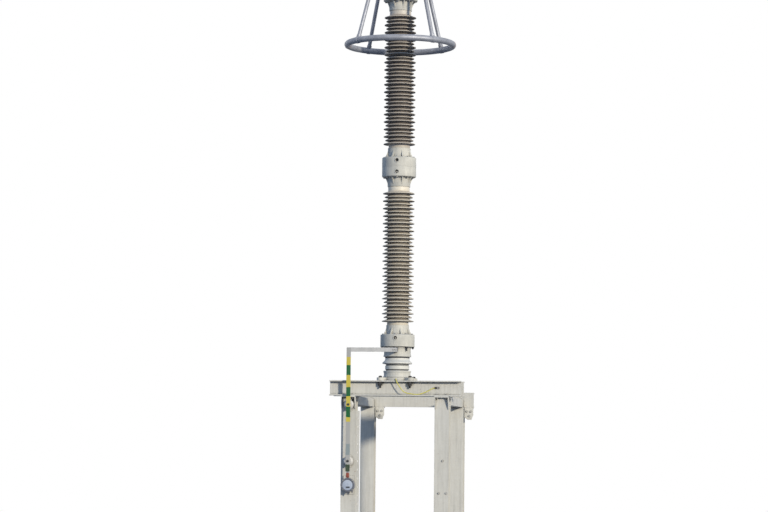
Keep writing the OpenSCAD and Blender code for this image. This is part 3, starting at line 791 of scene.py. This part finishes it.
# %% Bolt sets
def bolt(size, through=0.0):
    """A head of across-flats 1.5 size on a washer; with through, a nut and thread end that far below it."""
    flat, height, wide, thin = 1.5 * size, 0.65 * size, 1.05 * size, 0.16 * size
    crown = flat / math.sqrt(3)
    head = turn([(crown, 0), (crown, 0.85 * height), (0.86 * crown, height)], 6)
    washer = turn([(wide, 0), (wide, 0.8 * thin), (0.95 * wide, thin)], 28)
    parts = [(head[0] + [0, 0, 0.9 * thin], head[1]), washer]
    if through:
        nut = turn([(0.86 * crown, 0), (crown, 0.12 * size), (crown, 0.8 * size)], 6)
        end = turn([(0.4 * size, 0), (0.5 * size, 0.08 * size), (0.5 * size, 1.0 * size)], 20)
        lower = turn([(0.95 * wide, 0), (wide, 0.2 * thin), (wide, thin)], 28)
        parts += [(lower[0] - [0, 0, through + thin], lower[1]),
                  (nut[0] - [0, 0, through + thin + 0.8 * size], nut[1]),
                  (end[0] - [0, 0, through + thin + 1.25 * size], end[1])]
    return gather(parts)


def bolts(name, places, size, axis=upward, through=0.0, material=bolt_steel):
    """One piece of equal bolts, each standing on its place along the axis."""
    made = bolt(size, through)
    return piece(name, gather([stand(made, p, axis) for p in places]), material, smooth=30.0)


def circle(radius, z, first=0.0, count=8):
    """count points round the column's axis, the first one at that angle in degrees."""
    a = np.radians(first) + np.arange(count) * 2 * np.pi / count
    return np.stack([column_x + radius * np.cos(a), column_y + radius * np.sin(a), 0 * a + z], -1)


# %% [markdown]
# Each end casting has eight bolts on the shoulder of its drum. They stand upright at the foot of
# a unit and hang down at its head. Eight more hold the top plate, and one holds each arm.

# %% Bolts on the column
shoulder_r, shoulder_bolt = 0.172, 0.016
shoulders = {
    "lower_foot": (3.013, upward), "lower_head": (4.872, downward),
    "upper_foot": (5.104, upward), "upper_head": (6.966, downward),
}
for end, (height, way) in shoulders.items():
    bolts("bolts_" + end, circle(shoulder_r, height), shoulder_bolt, way)
bolts("bolts_top_plate", circle(0.160, plate_top, 22.5), 0.014)
bolts("bolts_arms", circle(arm_reach, arm_top, 45, 4), 0.020)
print("bolt sets on the column", sum(name.startswith("bolts") for name in triangles))

# %% [markdown]
# Two bolts hold each channel down at either side of the frame, and they stand on its bottom
# flange. Three more hold each bracket at the back, and three sit in the right front post.

# %% Bolts on the frame
post_x, post_face, frame_bolt = 0.550, -0.870, 0.016
front_gauge_y, rear_gauge_y, back_gauge_y = -0.890, -0.540, 0.788
flange_top, back_flange_top, grip = 2.304, 2.204, 0.030
crossing_x = [s * post_x + dx for s in (-1, 1) for dx in (-0.055, 0.055)]
bolts("bolts_front_bearer", [(x, front_gauge_y, flange_top) for x in crossing_x], frame_bolt, through=grip)
bolts("bolts_rear_bearer", [(x, rear_gauge_y, flange_top) for x in crossing_x], frame_bolt)
back_x = [s * post_x + dx for s in (-1, 1) for dx in (-0.045, 0.045)]
bolts("bolts_back_beam", [(x, back_gauge_y, back_flange_top) for x in back_x], frame_bolt, through=grip)

bracket_side, bracket_face, bracket_top, bracket_grip = 0.090, 0.748, 2.190, 0.012
bracket_places = [
    (s * post_x + bracket_side + dx, bracket_face, bracket_top - dz)
    for s in (-1, 1) for dx, dz in ((0.030, 0.050), (0.080, 0.050), (0.058, 0.105))
]
bolts("bolts_brackets", bracket_places, 0.014, to_front, through=bracket_grip)
post_places = [(0.563, post_face, 1.537), (0.520, post_face, 1.160), (0.607, post_face, 1.161)]
bolts("bolts_post", post_places, 0.014, to_front)
print("bolts on the frame", 2 * len(crossing_x) + len(back_x) + len(bracket_places) + len(post_places))

# %% [markdown]
# One greased bolt holds the earth bar on each standoff, and two small ones join the level bar to
# the lug on the collar.

# %% Bolts on the earthing parts
bar_places = [(bar_x, bar_front, height) for height in standoff_heights.values()]
bolts("bolts_bar", bar_places, 0.014, to_front, material=greased_shaded_steel)
bolts("bolts_lug", [(x, bar_front, 2.827) for x in (-0.013, 0.013)], 0.009, to_front)
print("bolt sets", sum(name.startswith("bolts") for name in triangles))

# %% [markdown]
# Where a stud ends, it shows as a washer, a nut, often a second nut that locks the first, and a
# few turns of thread. The four foundation studs hang below the beam's flange with both nuts.
# Under the lowest drum, one of the eight studs is longer than its neighbours. All of them are
# greased, and their near-black colour is partly painted shade.

# %% Stud ends
def stud_end(size, across, nuts, tail):
    """A washer, a stack of nuts of that width across flats and a thread end of length tail, along Z."""
    crown, wide = across / math.sqrt(3), 0.62 * across
    parts = [turn([(wide, 0), (wide, 0.003), (0.95 * wide, 0.004)], 28)]
    at = 0.004
    for height in nuts:
        parts.append(turn([(0.88 * crown, at), (crown, at + 0.1 * height), (crown, at + 0.9 * height),
                           (0.88 * crown, at + height)], 6))
        at += height + 0.001
    z = at - 0.002 + tail * np.linspace(0, 1, 2 * round(tail / 0.002) + 1)
    thread = 0.5 * size - 0.0008 * (np.arange(len(z)) % 2)
    parts.append(turn(np.stack([thread, z], -1), 20))
    return gather(parts)


foot_reach, flange_under, foot_top, foot_stud = 0.175, 2.456, 2.505, 0.022
foot_places = [(sx * foot_reach, column_y + sy * foot_reach) for sx in (-1, 1) for sy in (-1, 1)]
hanging = stud_end(foot_stud, across=0.041, nuts=(0.024, 0.016), tail=0.030)
standing = stud_end(foot_stud, across=0.036, nuts=(0.014,), tail=0.004)
studs = [stand(hanging, (x, y, flange_under), downward) for x, y in foot_places]
studs += [stand(standing, (x, y, foot_top)) for x, y in foot_places]
piece("studs_foundation", gather(studs), greased_shaded_steel, smooth=30.0)

drum_stud_r, drum_under, long_tail, short_tail = 0.182, 2.869, 0.034, 0.010
tails = np.where(np.arange(8) == 7, long_tail, short_tail)
drum_studs = [
    stand(stud_end(0.016, across=0.027, nuts=(0.014,), tail=tail), p, downward)
    for p, tail in zip(circle(drum_stud_r, drum_under), tails)
]
piece("studs_under_drum", gather(drum_studs), greased_shaded_steel, smooth=30.0)
print("stud ends", len(studs) + len(drum_studs))

# %% [markdown]
# The lowest vent port and the one at the lower unit's head each hold a pale domed plug, which
# catches the light inside the dark hole. The port above the joint is empty in the photograph.
# The topmost one lies outside the picture and is left empty like it.

# %% Vent valves
valve = turn(rounded([(0.009, 0.0), (0.009, 0.015), (0.005, 0.021), (0.0005, 0.021)], 0.003, 4), 32)
port_floor, port_heights, valve_drop = column_y - 0.175, (2.970, 4.927), 0.004
valves = [stand(valve, (column_x, port_floor, z - valve_drop), to_front) for z in port_heights]
piece("vent_valves", gather(valves), standoff_resin, smooth=50.0)
print("vent plugs", len(valves))

# %% [markdown]
# ## Weld beads
#
# The posts are welded to their base plates with a fillet that follows the section. A bead is a
# tube whose radius swells every few millimetres, as each pass of the weld left it. Bumps in the
# finish alone would leave its outline straight.

# %% Welds at the base plates
def outline_steps(corners, step=0.0045):
    """Points about step apart on a closed outline of straight sides."""
    c = np.asarray(corners, float)
    sides = np.roll(c, -1, 0) - c
    counts = np.maximum(2, (np.linalg.norm(sides, axis=1) / step).astype(int))
    shares = [np.linspace(0, 1, n, endpoint=False)[:, None] for n in counts]
    return np.concatenate([a + d * share for a, d, share in zip(c, sides, shares)])


half, inner, web = 0.085, 0.070, 0.0045
section = [(-half, -half), (half, -half), (half, -inner), (web, -inner), (web, inner), (half, inner),
           (half, half), (-half, half), (-half, inner), (-web, inner), (-web, -inner), (-half, -inner)]
post_y, weld_z, weld_r, swell, swell_turn = 0.785, 0.0255, 0.0055, 0.10, 2.1
flat = outline_steps(section)
ripple = weld_r * (1 + swell * np.cos(np.arange(len(flat)) * swell_turn))
beads = [tube(np.column_stack([flat + (x, y), np.full(len(flat), weld_z)]), ripple, 8, True)
         for x in (-post_x, post_x) for y in (-post_y, post_y)]
piece("welds_posts", gather(beads), weld_metal, smooth=80.0)
print("weld triangles", triangles["welds_posts"])

# %% [markdown]
# ## Surge counter
#
# The counter's face has a dark window for its drums, a thin bezel and four screws. Two glands
# leave at its lower edge, and a red-brown boot covers its terminal above. The window and the boot
# are boxes whose corners are rounded by one exponent, which is shorter than bevelling each.

# %% Counter details
def rounded_box(size, corner, rows=((0.94, 0.0), (1.0, 0.08), (1.0, 0.92), (0.94, 1.0)), count=32):
    """|x/a|^n + |y/b|^n = 1 with n = corner, drawn at each (scale, height) row of a box of that size."""
    a, b, h = size[0] / 2, size[1] / 2, size[2]
    u = np.linspace(0, 2 * np.pi, count, endpoint=False)
    x = a * np.sign(np.cos(u)) * np.abs(np.cos(u)) ** (2 / corner)
    y = b * np.sign(np.sin(u)) * np.abs(np.sin(u)) ** (2 / corner)
    points = np.concatenate([np.column_stack([s * x, s * y, np.full(count, h * t)]) for s, t in rows])
    return points, quads(len(rows), count, False) + caps(len(rows), count)


counter_z, face_y, case_y = 1.247, -0.972, -0.9775
window = stand(rounded_box((0.046, 0.017, 0.004), 8.0), (bar_x + 0.004, face_y, counter_z - 0.026), to_front)
piece("counter_window", window, window_dark, smooth=30.0)

bezel_loop = [(0.0610, 0.0), (0.0665, 0.0), (0.0665, 0.0062), (0.0650, 0.0068), (0.0615, 0.0040)]
bezel = turn(bezel_loop, 96)[0], quads(len(bezel_loop), 96, True)
bezel = stand(bezel, (bar_x, face_y, counter_z), to_front)
piece("counter_bezel", bezel, counter_paint, smooth=30.0)

screw = turn([(0.005, 0), (0.005, 0.002), (0.0035, 0.0032)], 16)
screw_reach = 0.0755
screws = [
    stand(screw, (bar_x + screw_reach * math.cos(a), case_y, counter_z + screw_reach * math.sin(a)), to_front)
    for a in np.radians(45 + 90 * np.arange(4))
]
piece("counter_screws", gather(screws), bolt_steel, smooth=30.0)

gland_y, gland_offsets = -0.935, ((-0.006, 0.076), (0.050, 0.058))
gland = turn([
    (0.006, -0.034), (0.0065, -0.020), (0.011, -0.019), (0.011, -0.010), (0.009, -0.009), (0.009, 0.010),
], 24)
glands = [stand(gland, (bar_x + dx, gland_y, counter_z - dz)) for dx, dz in gland_offsets]
piece("counter_glands", gather(glands), counter_paint, smooth=30.0)

lead_y, case_top = -0.977, 1.3335
boot_rows = ((0.86, 0.0), (1.0, 0.1), (1.0, 0.6), (0.9, 0.72), (0.86, 1.0))
boot = stand(rounded_box((0.040, 0.022, 0.056), 4.0, boot_rows, 36), (bar_x, lead_y, case_top))
piece("terminal_boot", boot, boot_rubber, smooth=50.0)
print("counter details", [name for name in triangles if name.startswith("counter") and "soft" not in name])

# %% [markdown]
# The bonding wire ends in a flat lug, which one bolt holds on the front beam's web. Its short
# barrel is a tube along three points and lies against the lug's face.

# %% Wire lug
web_face, lug_t = -0.858, 0.008
lug = stand(rounded_box((0.056, 0.022, lug_t), 8.0), (0.490, web_face, 2.387), to_front)
piece("wire_lug", lug, greased_shaded_steel, smooth=30.0)
bolts("bolts_wire", [(0.498, web_face - lug_t, 2.385)], 0.010, to_front)
barrel_path = [(0.455, -0.877, 2.390), (0.462, -0.8755, 2.3895), (0.482, -0.8715, 2.387)]
barrel = tube(barrel_path, [0.0055, 0.006, 0.006], 16)
piece("wire_end", barrel, greased_shaded_steel, smooth=30.0)
most = max(triangles, key=triangles.get)
print("pieces", len(triangles), "triangles", sum(triangles.values()), "most", most, triangles[most])

# %% [markdown]
# ## Floor and light
#
# A pale floor and a white surround set the object off. The floor's own glow is for the camera
# only, so it adds no light to the object and still shows the shadow.

# %% Floor
floor_half = 25
floor_corners = [(-floor_half, -floor_half, 0), (floor_half, -floor_half, 0),
                 (floor_half, floor_half, 0), (-floor_half, floor_half, 0)]
floor_mesh = bpy.data.meshes.new("floor")
floor_mesh.from_pydata(floor_corners, [], [(0, 1, 2, 3)])
floor = bpy.data.objects.new("floor", floor_mesh)
floor_finish = bpy.data.materials.new("floor")
floor_finish.use_nodes = True
tree = floor_finish.node_tree
shader = tree.nodes["Principled BSDF"]
shader.inputs["Base Color"].default_value = (0.25, 0.25, 0.25, 1.0)
shader.inputs["Roughness"].default_value = 0.9
shader.inputs["Emission Color"].default_value = (1.0, 1.0, 1.0, 1.0)
seen = add(tree, "LightPath").outputs["Is Camera Ray"]
tree.links.new(spread(tree, seen, 0.0, 1.0, 0.0, 0.62), shader.inputs["Emission Strength"])
floor.data.materials.append(floor_finish)
bpy.context.scene.collection.objects.link(floor)
print("floor", 2 * floor_half, "m square")

# %% [markdown]
# The key light is low and warm from the right of the camera, as in the photograph. The length of
# the shadow under the beam's flange shows that this light stands about 15 degrees high. A weak
# blue fill from the world keeps the shade soft. Only the camera, mirrors and glass see the
# world's white, so the background doesn't light the object.

# %% Sun and world
sun_azimuth, sun_height = math.radians(42), math.radians(14)
sun_data = bpy.data.lights.new("sun", "SUN")
sun_data.energy = 3.4
sun_data.angle = math.radians(4)
sun_data.color = (1.0, 0.92, 0.77)
sun = bpy.data.objects.new("sun", sun_data)
bpy.context.scene.collection.objects.link(sun)
sun.rotation_euler = (math.pi / 2 - sun_height, 0, sun_azimuth)

world = bpy.data.worlds.new("world")
bpy.context.scene.world = world
world.use_nodes = True
tree = world.node_tree
fill = tree.nodes["Background"]
fill.inputs["Color"].default_value = (0.42, 0.62, 1.0, 1.0)
fill.inputs["Strength"].default_value = 0.6
white = add(tree, "Background", {"Color": (1.0, 1.0, 1.0, 1.0), "Strength": 1.0})
path = add(tree, "LightPath").outputs
direct = combine(tree, "MAXIMUM", path["Is Camera Ray"], path["Is Glossy Ray"])
direct = combine(tree, "MAXIMUM", direct, path["Is Transmission Ray"])
both = add(tree, "MixShader", {0: direct, 1: fill.outputs[0], 2: white.outputs[0]})
tree.links.new(both.outputs[0], tree.nodes["World Output"].inputs["Surface"])
bpy.context.scene.view_settings.view_transform = "Standard"
print("sun strength", round(sun_data.energy, 2), "height", round(math.degrees(sun_height)), "degrees")
